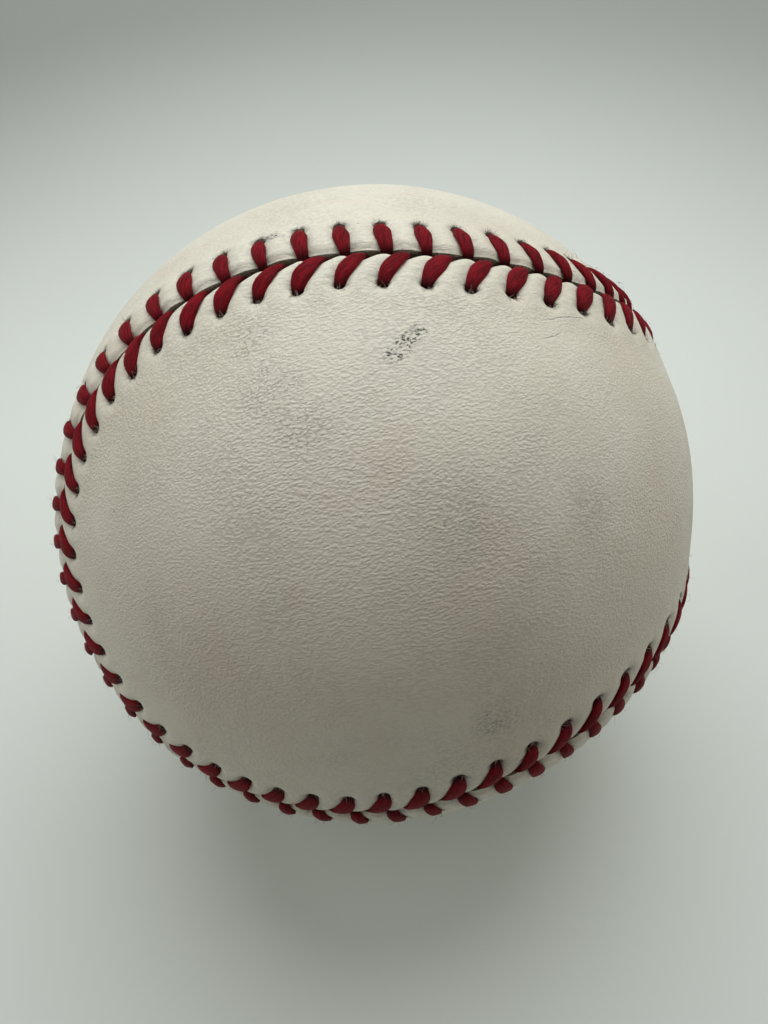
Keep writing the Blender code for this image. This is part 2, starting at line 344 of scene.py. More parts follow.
def smooth_step(value, low, high):
    share = np.clip((value - low) / (high - low), 0, 1)
    return share * share * (3 - 2 * share)


# ---------------------------------------------------------------- the leather's relief

# A stitch's lean fades towards its hole with this power.
STITCH_CURVE = 1.5
# The panels rise towards the seam: from nothing at the band's end to all of it nearer in.
BAND_END = 8.5 * MM
LIFT = 0.18 * MM
LIFT_ALL = 3.4 * MM
# The leather swells between stitches, up to a little way past the holes.
PILLOW = 0.42 * MM
PILLOW_LEVEL = 0.45
PILLOW_ALL = 3.0 * MM
PILLOW_END = 6.4 * MM
HOLE_HALF_ALONG = 0.58 * MM
HOLE_HALF_ACROSS = 0.52 * MM
HOLE_DIP = 0.40 * MM
# The cut edge rolls down into the gap, and scallops between these distances.
EDGE_ROLL = 0.40 * MM
EDGE_ROLL_WIDTH = 0.85 * MM
EDGE_FAR = 0.62 * MM
EDGE_SCALLOP = 0.31 * MM


def stitch_changes():
    """Small differences between the stitches of one side."""
    return {
        "lead": RNG.normal(0, 0.03, STITCHES),
        "hole": RNG.normal(0, 0.12 * MM, STITCHES),
        "puff": RNG.uniform(0.75, 1.2, STITCHES),
        "wide": RNG.normal(1, 0.06, STITCHES),
        "high": RNG.normal(0, 0.03 * MM, STITCHES),
    }


CHANGES = {side: stitch_changes() for side in (1, -1)}


def per_stitch(side, key, number):
    return CHANGES[side][key][np.mod(number, STITCHES).astype(int)]


def stitch_reach(side, distance):
    return np.clip(1 - distance / HOLE_OFFSETS[side], 0, 1) ** STITCH_CURVE


def stitch_turn(side, number, distance):
    """Where the visible stitch from a hole lies along the seam, at this distance from it."""
    lead = LEADS[side] + per_stitch(side, "lead", number)
    return number + FIRST_HOLE - lead * stitch_reach(side, distance)


def off_stitch(side, turn, distance):
    """How far a place is from the nearest stitch, in stitches, from -0.5 to 0.5."""
    number = np.round(turn - FIRST_HOLE + LEADS[side] * stitch_reach(side, distance))
    return np.clip(turn - stitch_turn(side, number, distance), -0.5, 0.5)


def leather_height(side, turn, distance):
    """How far the panel's outer face stands above the ball's radius beside the seam."""
    off = off_stitch(side, turn, distance)
    pillow = (0.5 - 0.5 * np.cos(2 * math.pi * off)) ** 0.7
    beside = np.floor(turn - FIRST_HOLE + LEADS[side] * stitch_reach(side, distance))
    puff = per_stitch(side, "puff", beside)
    reach = smooth_step(-distance, -PILLOW_END, -PILLOW_ALL)
    swell = PILLOW * reach * (puff * pillow - PILLOW_LEVEL)
    height = LIFT * smooth_step(-distance, -BAND_END, -LIFT_ALL)
    return height + swell - hole_dip(side, turn, distance)


def hole_radius(side, turn, distance):
    """Distance from the nearest hole's centre, where 1 is the hole's own rim."""
    number = np.round(turn - FIRST_HOLE)
    along = (turn - number - FIRST_HOLE) * PITCH / HOLE_HALF_ALONG
    centre = HOLE_OFFSETS[side] + per_stitch(side, "hole", number)
    across = (distance - centre) / HOLE_HALF_ACROSS
    return np.hypot(along, across), along, across


def hole_dip(side, turn, distance):
    """The leather sinks into each hole, most on the side that the thread pulls against."""
    radius, _, across = hole_radius(side, turn, distance)
    pull = 0.55 - 0.30 * np.clip(across, -1, 1)
    return HOLE_DIP * pull * np.exp(-((np.maximum(radius - 0.6, 0) / 0.9) ** 2))


def slow_waves(directions):
    """A gentle unevenness over the whole ball, the same for both panels."""
    rng = np.random.default_rng(WAVE_SEED)
    total = np.zeros(len(directions))
    for _ in range(WAVES):
        wave = rng.normal(0, 1, 3) * WAVE_CYCLES
        total += np.sin(directions @ wave + rng.uniform(0, 2 * math.pi))
    return total / math.sqrt(WAVES) * WAVE_HEIGHT


def zip_rows(low, high, low_at, high_at):
    """Triangles between two rows of corners, which lie at rising positions."""
    faces = []
    i = j = 0
    while i < len(low) - 1 or j < len(high) - 1:
        at_end = j == len(high) - 1
        if at_end or (i < len(low) - 1 and low_at[i + 1] <= high_at[j + 1]):
            faces.append((low[i], low[i + 1], high[j]))
            i += 1
        else:
            faces.append((low[i], high[j + 1], high[j]))
            j += 1
    return faces


# ---------------------------------------------------------------- leather panels

# The panel has a fine band beside the seam and a coarser field inside it.
COLUMNS = 12 * STITCHES
FLAT_PER_STITCH = 4
FIELD_START = BAND_END + 0.5 * MM
FIELD_CELL = 1.3 * MM
# Cells whose middle is this near a hole's centre are open, where 1 is the rim.
OPEN_RADIUS = 0.93
RIM_ROUGHNESS = 0.07
# Dirt and painted shade darken the holes' rims, in hole radii, and less strongly the leather beside
# each stitch.
SOIL_AND_SHADE_RIM = 0.42
SOIL_AND_SHADE_BESIDE = 0.4
SOIL_AND_SHADE_HALF_WIDTH = 1.1 * MM
SOIL_AND_SHADE_FADE = (3.5 * MM, 5 * MM)
LINING_DEPTH = 0.88 * LEATHER
LINING_GAP = 0.05 * MM
WAVE_SEED = 3
WAVES = 9
WAVE_CYCLES = 5.0
WAVE_HEIGHT = 0.05 * MM
# How far along the way from the cut edge to the band's end each row lies.
EDGE_ROWS = [0, 0.012, 0.032, 0.06, 0.095]
BAND_ROWS = np.concatenate([EDGE_ROWS, np.linspace(0.132, 0.70, 17), [0.76, 0.83, 0.91, 1.0]])


def edge_distance(side, turn):
    """How far the cut edge lies from the seam's centre line: it scallops at each stitch."""
    off = off_stitch(side, turn, np.full_like(turn, 0.5 * MM))
    bulge = 0.5 - 0.5 * np.cos(2 * math.pi * off)
    return EDGE_FAR - EDGE_SCALLOP * bulge


def around_seam(turn, distance):
    """A place beside the seam on a cylinder whose girth is the seam's length."""
    radius = PITCH * STITCHES / (2 * math.pi)
    angle = np.asarray(turn) * (2 * math.pi / STITCHES)
    return np.stack([radius * np.cos(angle), radius * np.sin(angle), distance], axis=-1)


class Leather:
    """One panel: its outer face as corners and faces, and then the whole closed solid."""

    def __init__(self, side):
        self.side = side
        self.corners = []
        self.faces = []
        self.count = 0

    def add(self, directions, heights, distances, soil, place):
        self.corners.append((directions, heights, distances, soil, place))
        start = self.count
        self.count += len(directions)
        return np.arange(start, self.count)

    def add_band(self):
        """The fine grid beside the seam, with the holes left open."""
        side = self.side
        turn = np.arange(COLUMNS) * (STITCHES / COLUMNS)
        edge = edge_distance(side, turn)
        distance = edge + (BAND_END - edge) * BAND_ROWS[:, None]
        turns = np.tile(turn, (len(distance), 1))
        turns, distance, is_open = self.open_holes(turns, distance)
        from_edge = distance - edge
        height = leather_height(side, turns, distance)
        height = height - EDGE_ROLL * (1 - smooth_step(from_edge, 0, EDGE_ROLL_WIDTH))
        # Dirt and painted shade: strongest at the holes' rims, weaker beside each stitch.
        radius, _, _ = hole_radius(side, turns, distance)
        off = off_stitch(side, turns, distance) * PITCH
        beside = np.exp(-((off / SOIL_AND_SHADE_HALF_WIDTH) ** 2)) * (1 - smooth_step(distance, *SOIL_AND_SHADE_FADE))
        rim = np.exp(-((np.maximum(radius - 1, 0) / SOIL_AND_SHADE_RIM) ** 2))
        soil = np.maximum(rim, SOIL_AND_SHADE_BESIDE * beside)
        places = on_cover(turns, side * distance).reshape(-1, 3)
        around = around_seam(turns, distance).reshape(-1, 3)
        corners = self.add(places, height.ravel(), distance.ravel(), soil.ravel(), around)
        corners = corners.reshape(turns.shape)
        for row, column in zip(*np.nonzero(~is_open)):
            after = (column + 1) % COLUMNS
            low, high = corners[row], corners[row + 1]
            self.faces.append((low[column], low[after], high[after], high[column]))
        return corners[-1]

    def open_holes(self, turns, distance):
        """Says which cells are open, and moves the corners round them onto the rims."""
        step = STITCHES / COLUMNS
        middle = (distance + np.roll(distance, -1, axis=1)) / 2
        middle = (middle[:-1] + middle[1:]) / 2
        is_open = hole_radius(self.side, turns[:-1] + step / 2, middle)[0] < OPEN_RADIUS
        beside = np.zeros((2,) + turns.shape, bool)
        for kind, cells in enumerate((is_open, ~is_open)):
            for down in (0, 1):
                rows = beside[kind, down:down + len(cells)]
                rows |= cells
                rows |= np.roll(cells, 1, axis=1)
        rim = beside[0] & beside[1]
        radius, _, _ = hole_radius(self.side, turns, distance)
        rough = 1 + RNG.normal(0, RIM_ROUGHNESS, turns.shape)
        pull = np.where(rim, rough / np.maximum(radius, 0.1), 1.0)
        number = np.round(turns - FIRST_HOLE)
        centre = HOLE_OFFSETS[self.side] + per_stitch(self.side, "hole", number)
        at = number + FIRST_HOLE
        return at + (turns - at) * pull, centre + (distance - centre) * pull, is_open

    def add_field(self, last):
        """Ribs across the panel, from one tip of the figure eight to the other."""
        count = STITCHES * FLAT_PER_STITCH
        quarter = QUARTER * FLAT_PER_STITCH
        turn = np.arange(count) / FLAT_PER_STITCH
        distance = np.full(count, FIELD_START)
        directions = on_cover(turn, self.side * distance)
        nothing = np.zeros(count)
        around = around_seam(turn, distance)
        flat = self.add(directions, nothing, distance, nothing, around)
        shares = [np.linspace(0, 1, size + 1) for size in (COLUMNS, count)]
        self.faces += zip_rows(np.append(last, last[0]), np.append(flat, flat[0]), *shares)
        shift = 0 if self.side > 0 else quarter
        ribs = []
        for place in range(-quarter, quarter + 1):
            ends = [(shift + place) % count, (shift + 2 * quarter - place) % count]
            ribs.append(self.add_rib(flat[ends], directions[ends]))
        for rib, after in zip(ribs, ribs[1:]):
            shares = [np.linspace(0, 1, len(row)) for row in (after, rib)]
            self.faces += zip_rows(after, rib, *shares)

    def add_rib(self, ends, directions):
        """Corners along the great circle between two opposite places of the seam."""
        if ends[0] == ends[1]:
            return np.array([ends[0]])
        first, last = directions
        span = math.acos(min(1.0, float(first @ last)))
        cells = max(1, round(span * COVER_RADIUS / FIELD_CELL))
        shares = np.arange(1, cells)[:, None] / cells
        middle = np.sin((1 - shares) * span) * first + np.sin(shares * span) * last
        inside = np.minimum(shares, 1 - shares)[:, 0] * span * COVER_RADIUS
        nothing = np.zeros(cells - 1)
        around = np.zeros((cells - 1, 3))
        middle = middle / math.sin(span)
        added = self.add(middle, nothing, FIELD_START + inside, nothing, around)
        return np.concatenate([ends[:1], added, ends[1:]])

    def solid(self, name, materials):
        """The outer face, a lining below it and walls round every opening."""
        columns = [np.concatenate(part) for part in zip(*self.corners)]
        directions, heights, distances, soil, around = columns
        radius = COVER_RADIUS + heights + slow_waves(directions)
        faces = [tuple(int(corner) for corner in face) for face in self.faces]
        if directions_point_in(directions, faces):
            faces = [tuple(reversed(face)) for face in faces]
        count = len(directions)
        lining = [tuple(corner + count for corner in reversed(face)) for face in faces]
        walls = [(b, a, a + count, b + count) for a, b in boundary_edges(faces)]
        inner = np.maximum(radius - LINING_DEPTH, YARN_RADIUS + LINING_GAP)
        points = np.concatenate([directions * radius[:, None], directions * inner[:, None]])
        slots = [0] * len(faces) + [1] * (len(lining) + len(walls))
        values = {
            "seam_distance": np.tile(distances, 2),
            "soil": np.tile(soil, 2),
            "seam_place": np.tile(around, (2, 1)),
        }
        shape = without_loose(points, faces + lining + walls, values)
        return new_mesh(name, *shape, slots, materials)


def directions_point_in(directions, faces):
    corners = directions[list(faces[len(faces) // 2][:3])]
    normal = np.cross(corners[1] - corners[0], corners[2] - corners[0])
    return float(normal @ corners[0]) < 0


def without_loose(points, faces, values):
    """Drops the corners that no face uses."""
    used = np.unique(np.concatenate([np.asarray(face) for face in faces]))
    renumber = np.full(len(points), -1)
    renumber[used] = np.arange(len(used))
    faces = [tuple(renumber[list(face)].tolist()) for face in faces]
    return points[used], faces, {key: value[used] for key, value in values.items()}


def add_leather(side, letter, materials):
    leather = Leather(side)
    leather.add_field(leather.add_band())
    piece = leather.solid("leather_panel_" + letter, materials)
    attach(piece, "root")
    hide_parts("cover_panel_" + letter)


# ---------------------------------------------------------------- the thread

SECTION_SIDES = 16
CELLS_PER_STOP = 2
PLIES = 4
PLY_RELIEF = 0.05
THREAD_TWIST = 13.0 * MM
# Each stop: share of the way from hole to gap, then the height over the cover, the width
# and the thickness in millimetres.
HOLE_STOPS = (
    (-0.04, -1.15, 1.00, 0.36),
    (-0.03, -0.60, 0.86, 0.52),
    (0.015, -0.18, 0.90, 0.60),
    (0.12, 0.06, 1.20, 0.62),
    (0.28, 0.29, 1.56, 0.66),
    (0.45, 0.40, 1.72, 0.68),
    (0.62, 0.38, 1.64, 0.68),
    (0.78, 0.24, 1.42, 0.66),
    (0.90, -0.06, 1.16, 0.58),
    (0.985, -0.60, 0.92, 0.48),
)
# Below the gap, and midway to the next hole under the other panel.
GAP_STOP = (-1.10, 1.00, 0.36)
GAP_SIDESTEP = 0.05 * MM
MIDWAY_STOP = (-1.22, 1.30, 0.32)
# The stitches of panel B are pulled narrower.
STITCH_WIDTHS = {1: 1.0, -1: 0.87}


def thread_stops(side, number):
    """Stops of one stitch as rows of turn, across, radius, width and thickness."""
    rows = []
    wide = STITCH_WIDTHS[side] * per_stitch(side, "wide", number)
    high = per_stitch(side, "high", number)
    hole = HOLE_OFFSETS[side] + per_stitch(side, "hole", number)
    for share, height, width, thickness in HOLE_STOPS:
        distance = hole * (1 - share)
        turn = stitch_turn(side, number, HOLE_OFFSETS[side] * (1 - share))
        over = COVER_RADIUS + height * MM + (high if height > 0 else 0)
        rows.append((turn, side * distance, over, width * wide * MM, thickness * MM))
    lead = LEADS[side] + per_stitch(side, "lead", number)
    hidden = (
        (lead, GAP_SIDESTEP, GAP_STOP),
        ((lead + 1) / 2, HOLE_OFFSETS[-side] / 2, MIDWAY_STOP),
    )
    for back, across, (height, width, thickness) in hidden:
        turn = number + FIRST_HOLE - back
        under = COVER_RADIUS + height * MM
        rows.append((turn, -side * across, under, width * MM, thickness * MM))
    return rows


def smooth_path(stops, cells):
    """Catmull-Rom through the stops, with this many cells between each two."""
    ends = np.concatenate([[2 * stops[0] - stops[1]], stops, [2 * stops[-1] - stops[-2]]])
    before, start, end, after = ends[:-3], ends[1:-2], ends[2:-1], ends[3:]
    path = []
    for cell in range(cells):
        t = cell / cells
        path.append(
            start
            + 0.5 * t * (end - before)
            + t * t * (before - 2.5 * start + 2 * end - 0.5 * after)
            + 0.5 * t**3 * (3 * (start - end) + after - before)
        )
    rows = np.stack(path, axis=1).reshape(-1, stops.shape[1])
    return np.concatenate([rows, stops[-1:]])


def thread_run(first_side):
    """One thread from end to end: a stitch on alternate sides, with a stretch under each."""
    stops = []
    side = first_side
    for step in range(STITCHES):
        stops += thread_stops(side, np.array(STITCHES - step))
        side = -side
    return smooth_path(np.array(stops)[1:-1], CELLS_PER_STOP)


def thread_rings(rows):
    """Rings of points along the thread, and what each point's material needs."""
    turn, across, radius, width, thickness = rows.T
    centre = on_cover(turn, across) * radius[:, None]
    tangent = unit(np.gradient(centre, axis=0))
    _, along, _ = seam_frame(turn)
    sideways = unit(-along + tangent * np.sum(along * tangent, axis=1)[:, None])
    upward = np.cross(sideways, tangent)
    travelled = np.concatenate([[0], np.cumsum(np.linalg.norm(np.diff(centre, axis=0), axis=1))])
    angle = np.arange(SECTION_SIDES) * (2 * math.pi / SECTION_SIDES)
    twist = angle + travelled[:, None] * (2 * math.pi / THREAD_TWIST)
    strand = 1 + PLY_RELIEF * np.cos(PLIES * twist)
    wide = strand * np.cos(angle) * width[:, None] / 2
    tall = strand * np.sin(angle) * thickness[:, None] / 2
    points = (
        centre[:, None]
        + sideways[:, None] * wide[..., None]
        + upward[:, None] * tall[..., None]
    )
    lengthwise = np.broadcast_to(travelled[:, None] / MM, twist.shape)
    strand_place = np.stack([np.cos(twist), np.sin(twist), lengthwise], axis=-1)
    depth = np.broadcast_to((radius - COVER_RADIUS)[:, None] / MM, twist.shape)
    return points, strand_place, depth


def add_thread(material):
    points, places, depths, faces = [], [], [], []
    for first_side in (-1, 1):
        rings, place, depth = thread_rings(thread_run(first_side))
        start = sum(len(part) for part in points)
        count = len(rings)
        for ring in range(count - 1):
            low = start + ring * SECTION_SIDES
            high = low + SECTION_SIDES
            for corner in range(SECTION_SIDES):
                after = (corner + 1) % SECTION_SIDES
                faces.append((low + corner, high + corner, high + after, low + after))
        faces.append(tuple(range(start, start + SECTION_SIDES)))
        last = start + (count - 1) * SECTION_SIDES
        faces.append(tuple(reversed(range(last, last + SECTION_SIDES))))
        points.append(rings.reshape(-1, 3))
        places.append(place.reshape(-1, 3))
        depths.append(depth.ravel())
    values = {"strand": np.concatenate(places), "depth": np.concatenate(depths)}
    piece = new_mesh("stitching", np.concatenate(points), faces, values, None, [material])
    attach(piece, "root")
    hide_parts("seam_thread")


# ---------------------------------------------------------------- stray fibres

FIBRE_SIDES = 4
FIBRE_CELLS = 4
HAIRS_PER_STITCH = 7
HAIR_LENGTHS = (0.25 * MM, 0.75 * MM)
HAIR_WIDTHS = (0.018 * MM, 0.034 * MM)
FLUFF_PER_HOLE = 14
FLUFF_LENGTHS = (0.22 * MM, 0.7 * MM)
FLUFF_WIDTHS = (0.035 * MM, 0.075 * MM)


class Fibres:
    """Many thin tapering tubes in one mesh."""

    def __init__(self):
        self.points = []
        self.faces = []

    def add(self, start, way, bend, length, thick):
        """One fibre from start, leaving along way and curving towards bend."""
        share = np.linspace(0, 1, FIBRE_CELLS + 1)[:, None]
        centre = start + length * (share * way + share**2 * bend)
        tangent = unit(np.gradient(centre, axis=0))
        first = unit(np.cross(tangent, unit(bend + 0.31 * way[[1, 2, 0]])))
        second = np.cross(tangent, first)
        radius = thick / 2 * (1 - 0.75 * share)
        base = len(self.points) * (FIBRE_CELLS + 1) * FIBRE_SIDES
        rings = []
        for corner in range(FIBRE_SIDES):
            angle = 2 * math.pi * corner / FIBRE_SIDES
            rings.append(centre + radius * (math.cos(angle) * first + math.sin(angle) * second))
        self.points.append(np.stack(rings, axis=1).reshape(-1, 3))
        for cell in range(FIBRE_CELLS):
            low = base + cell * FIBRE_SIDES
            for corner in range(FIBRE_SIDES):
                after = (corner + 1) % FIBRE_SIDES
                high = low + FIBRE_SIDES
                self.faces.append((low + corner, low + after, high + after, high + corner))
        self.faces.append(tuple(reversed(range(base, base + FIBRE_SIDES))))
        tip = base + FIBRE_CELLS * FIBRE_SIDES
        self.faces.append(tuple(range(tip, tip + FIBRE_SIDES)))

    def piece(self, name, material, slot):
        made = new_mesh(name, np.concatenate(self.points), self.faces, {}, None, [material])
        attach(made, "root")


def tangent_axes(direction):
    first = unit(np.cross(direction, (0.3, 0.5, 0.8)))
    return first, np.cross(direction, first)


def add_thread_hairs(material):
    """Short hairs that stand off the stitches."""
    hairs = Fibres()
    for side in (1, -1):
        for number in range(STITCHES):
            for _ in range(HAIRS_PER_STITCH):
                share = RNG.uniform(0.0, 0.95)
                distance = HOLE_OFFSETS[side] * (1 - share)
                sideways = RNG.uniform(-0.8, 0.8) * MM * (0.6 if share < 0.2 else 1.0)
                turn = stitch_turn(side, np.array(number), distance) + sideways / PITCH
                up = on_cover(turn, side * distance)
                over = np.interp(share, [0, 0.12, 0.5, 0.85, 1], [0.1, 0.7, 1.0, 0.7, 0.0])
                level = over * MM * math.sqrt(max(0.1, 1 - (sideways / (0.92 * MM)) ** 2))
                start = up * (COVER_RADIUS + level - 0.05 * MM)
                first, second = tangent_axes(up)
                angle = RNG.uniform(0, 2 * math.pi)
                way = unit(0.8 * up + math.cos(angle) * first + math.sin(angle) * second)
                bend = RNG.normal(0, 0.35, 3) - 0.35 * up
                length = RNG.uniform(*HAIR_LENGTHS)
                hairs.add(start, way, bend, length, RNG.uniform(*HAIR_WIDTHS))
    hairs.piece("thread_hairs", material, "red_thread")


def add_hole_fluff(material):
    """Torn leather fibres at the outer rim of every hole."""
    fluff = Fibres()
    for side in (1, -1):
        for number in range(STITCHES):
            centre = HOLE_OFFSETS[side] + per_stitch(side, "hole", np.array(number))
            for _ in range(FLUFF_PER_HOLE):
                angle = RNG.normal(0, 0.8)
                turn = number + FIRST_HOLE + math.sin(angle) * HOLE_HALF_ALONG / PITCH
                distance = centre + math.cos(angle) * HOLE_HALF_ACROSS
                up = on_cover(turn, side * distance)
                _, along, towards_a = seam_frame(turn)
                level = leather_height(side, np.array(turn), np.array(distance))
                start = up * (COVER_RADIUS + level - 0.06 * MM)
                out = math.sin(angle) * along + math.cos(angle) * side * towards_a
                way = unit(RNG.normal(0.1, 0.8) * out + 0.55 * up + RNG.normal(0, 0.25, 3))
                bend = RNG.normal(0, 0.3, 3) - 0.2 * up
                length = RNG.uniform(*FLUFF_LENGTHS)
                fluff.add(start, way, bend, length, RNG.uniform(*FLUFF_WIDTHS))
    fluff.piece("hole_fluff", material, "cowhide")


# ---------------------------------------------------------------- materials

CREAM = rgb(0.82, 0.785, 0.675)
WARM = rgb(0.72, 0.66, 0.545)
PINKISH = rgb(0.77, 0.645, 0.55)
GREYED = rgb(0.42, 0.41, 0.37)
SOOT = rgb(0.035, 0.032, 0.028)
GRAIN_DEPTH = 0.080 * MM
WRINKLE_DEPTH = 0.15 * MM
# Each pair below is a dark and a light tone.
CUT_LEATHER = (rgb(0.11, 0.085, 0.06), rgb(0.36, 0.31, 0.23))
LEATHER_FIBRE = (rgb(0.10, 0.09, 0.075), rgb(0.50, 0.47, 0.40))
# For the thread, the dark tone is painted shade in the valleys between the fibres, and the light
# tone is their crests.
CRIMSON = (rgb(0.085, 0.0012, 0.004), rgb(0.34, 0.005, 0.016))
CRIMSON_FIBRE = (rgb(0.08, 0.002, 0.005), rgb(0.26, 0.008, 0.016))
# Painted shade, with some dirt, for the thread where it sinks into the holes.
SUNK_SHADE_AND_DIRT_CRIMSON = rgb(0.018, 0.0006, 0.0015)
GREY_BLUE_WOOL = (rgb(0.05, 0.06, 0.08), rgb(0.24, 0.28, 0.34))
WHITE_WOOL = (rgb(0.34, 0.32, 0.28), rgb(0.74, 0.72, 0.66))
GREY_WOOL = (rgb(0.10, 0.10, 0.10), rgb(0.40, 0.39, 0.37))
FINISHING_YARN = (rgb(0.40, 0.37, 0.30), rgb(0.80, 0.77, 0.69))
CORK = (rgb(0.20, 0.10, 0.045), rgb(0.52, 0.32, 0.16))
CORK_BINDER = rgb(0.03, 0.02, 0.015)
BLACK_RUBBER = (rgb(0.012, 0.012, 0.013), rgb(0.035, 0.034, 0.033))
RED_RUBBER = (rgb(0.26, 0.035, 0.025), rgb(0.36, 0.07, 0.05))


def seam_wrinkles(nodes):
    """Fine wrinkles beside the seam: along it near the lip, and away from it at the holes."""
    place = nodes.add("ShaderNodeAttribute", {"attribute_name": "seam_place"}).outputs["Vector"]
    heights = []
    for scale, size in (((1, 1, 3.2), 700.0), ((1, 1, 0.30), 900.0)):
        mapping = nodes.add("ShaderNodeMapping", Vector=place)
        mapping.inputs["Scale"].default_value = scale
        heights.append(nodes.noise(mapping.outputs["Vector"], size, 3.0, 0.6, 0.3))
    distance = nodes.attribute("seam_distance")
    by_holes = nodes.between(distance, 3.6 * MM, 4.8 * MM)
    height = nodes.mix(by_holes, heights[0], heights[1])
    fade = nodes.between(distance, 5.0 * MM, 7.4 * MM, 1.0, 0.0)
    return nodes.math("MULTIPLY", height, fade)


RAGGEDNESS = 2.6 * MM
# Soiled places: direction from the ball's centre, reach, dark specks and grey veil. All but
# the last three were measured on the photo. Those three are on the back, and made up.
SMUDGES = (
    ((0.03, -0.31, 0.95), 1.1 * MM, 1.00, 0.06),
    ((0.04, -0.32, 0.95), 1.0 * MM, 1.00, 0.06),
    ((0.06, -0.29, 0.95), 1.1 * MM, 1.00, 0.06),
    ((0.09, -0.28, 0.96), 1.1 * MM, 1.00, 0.06),
    ((0.11, -0.27, 0.96), 0.9 * MM, 1.00, 0.06),
    ((-0.25, -0.31, 0.92), 4.6 * MM, 0.34, 0.04),
    ((-0.20, -0.42, 0.89), 4.2 * MM, 0.32, 0.04),
    ((-0.27, -0.17, 0.95), 3.0 * MM, 0.34, 0.04),
    ((0.09, -0.65, 0.76), 6.0 * MM, 0.20, 0.14),
    ((-0.16, 0.14, 0.98), 1.5 * MM, 1.00, 0.20),
    ((0.11, -0.94, 0.31), 3.2 * MM, 0.40, 0.06),
    ((0.41, -0.64, 0.65), 3.6 * MM, 0.18, 0.06),
    ((-0.75, 0.35, -0.55), 6.0 * MM, 0.40, 0.12),
    ((0.55, 0.62, -0.56), 5.0 * MM, 0.40, 0.10),
    ((0.10, 0.95, 0.30), 5.0 * MM, 0.34, 0.08),
)


def smudged(nodes, place):
    """How specked and how veiled the leather is at a place, each from 0 to 1."""
    ragged = nodes.math("MULTIPLY", nodes.noise(place, 420.0, 3.0, 0.65), RAGGEDNESS)
    totals = [None, None]
    for direction, reach, *strengths in SMUDGES:
        centre = tuple(Vector(direction).normalized() * COVER_RADIUS)
        away = nodes.add("ShaderNodeVectorMath", {"operation": "DISTANCE"}, Vector=place)
        away.inputs[1].default_value = centre
        far = nodes.math("ADD", away.outputs["Value"], ragged)
        inner, outer = (size + RAGGEDNESS / 2 for size in (reach / 4, reach))
        near = nodes.between(far, inner, outer, 1.0, 0.0)
        for kind, strength in enumerate(strengths):
            part = nodes.math("MULTIPLY", near, strength)
            if totals[kind] is not None:
                part = nodes.math("MAXIMUM", totals[kind], part)
            totals[kind] = part
    return totals


def leather_grain(nodes, place):
    """Short wavy ridges with fine creases between them, longer than they are wide."""
    grain = nodes.place(scale=(0.55, 1.0, 1.0), turn=(0.0, 0.0, 0.14))
    ridges = nodes.noise(grain, 3600.0, 3.0, 0.66, 0.6)
    cells = nodes.voronoi(grain, 4600.0, "SMOOTH_F1")
    creases = nodes.between(cells, 0.18, 0.60)
    pits = nodes.voronoi(place, 4600.0)
    height = nodes.math("SUBTRACT", ridges, nodes.math("MULTIPLY", creases, 0.40))
    fine = nodes.noise(place, 6800.0, 3.0, 0.7)
    height = nodes.math("ADD", height, nodes.math("MULTIPLY", fine, 0.42))
    return nodes.math("SUBTRACT", height, nodes.math("MULTIPLY", pits, 0.22))


CREASE_WANDER = 0.9 * MM
CREASE_EDGES = (0.02 * MM, 0.11 * MM)
# Long creases: direction of the middle, direction across it, half its length. The first two
# were measured on the photo. The last is on the back, and made up.
CREASES = (
    ((0.49, -0.21, 0.85), (-0.16, 0.93, 0.33), 3.4 * MM),
    ((0.43, -0.27, 0.86), (-0.23, 0.89, 0.39), 1.4 * MM),
    ((-0.62, 0.55, -0.55), (0.70, 0.70, -0.10), 3.4 * MM),
)


def long_creases(nodes, place):
    """How deep a few longer creases are at a place, from 0 to 1."""
    wander = nodes.math("MULTIPLY", nodes.noise(place, 260.0, 3.0, 0.6), CREASE_WANDER)
    total = None
    for middle, across, half in CREASES:
        centre = Vector(middle).normalized() * COVER_RADIUS
        side = Vector(across).normalized()
        aside = nodes.add("ShaderNodeVectorMath", {"operation": "DOT_PRODUCT"}, Vector=place)
        aside.inputs[1].default_value = tuple(side)
        level = side.dot(centre) - CREASE_WANDER / 2
        off = nodes.math("SUBTRACT", aside.outputs["Value"], level)
        off = nodes.math("ABSOLUTE", nodes.math("SUBTRACT", off, wander))
        away = nodes.add("ShaderNodeVectorMath", {"operation": "DISTANCE"}, Vector=place)
        away.inputs[1].default_value = tuple(centre)
        near = nodes.between(away.outputs["Value"], half * 0.55, half, 1.0, 0.0)
        line = nodes.math("MULTIPLY", nodes.between(off, *CREASE_EDGES, 1.0, 0.0), near)
        total = line if total is None else nodes.math("MAXIMUM", total, line)
    return total


def leather_relief(nodes, place, height, crease):
    """Grain that is weaker near the seam and in patches, with the creases and wrinkles."""
    patch = nodes.noise(place, 60.0, 3.0, 0.6)
    near_seam = nodes.between(nodes.attribute("seam_distance"), 3.6 * MM, 6.6 * MM, 0.3, 1.0)
    strength = nodes.math("MULTIPLY", nodes.between(patch, 0.3, 0.7, 0.6, 1.1), near_seam)
    relief = nodes.math("MULTIPLY", height, strength)
    relief = nodes.math("SUBTRACT", relief, nodes.math("MULTIPLY", crease, 0.5))
    normal = nodes.bump(relief, 1.0, GRAIN_DEPTH)
    return nodes.bump(seam_wrinkles(nodes), 0.9, WRINKLE_DEPTH, normal)


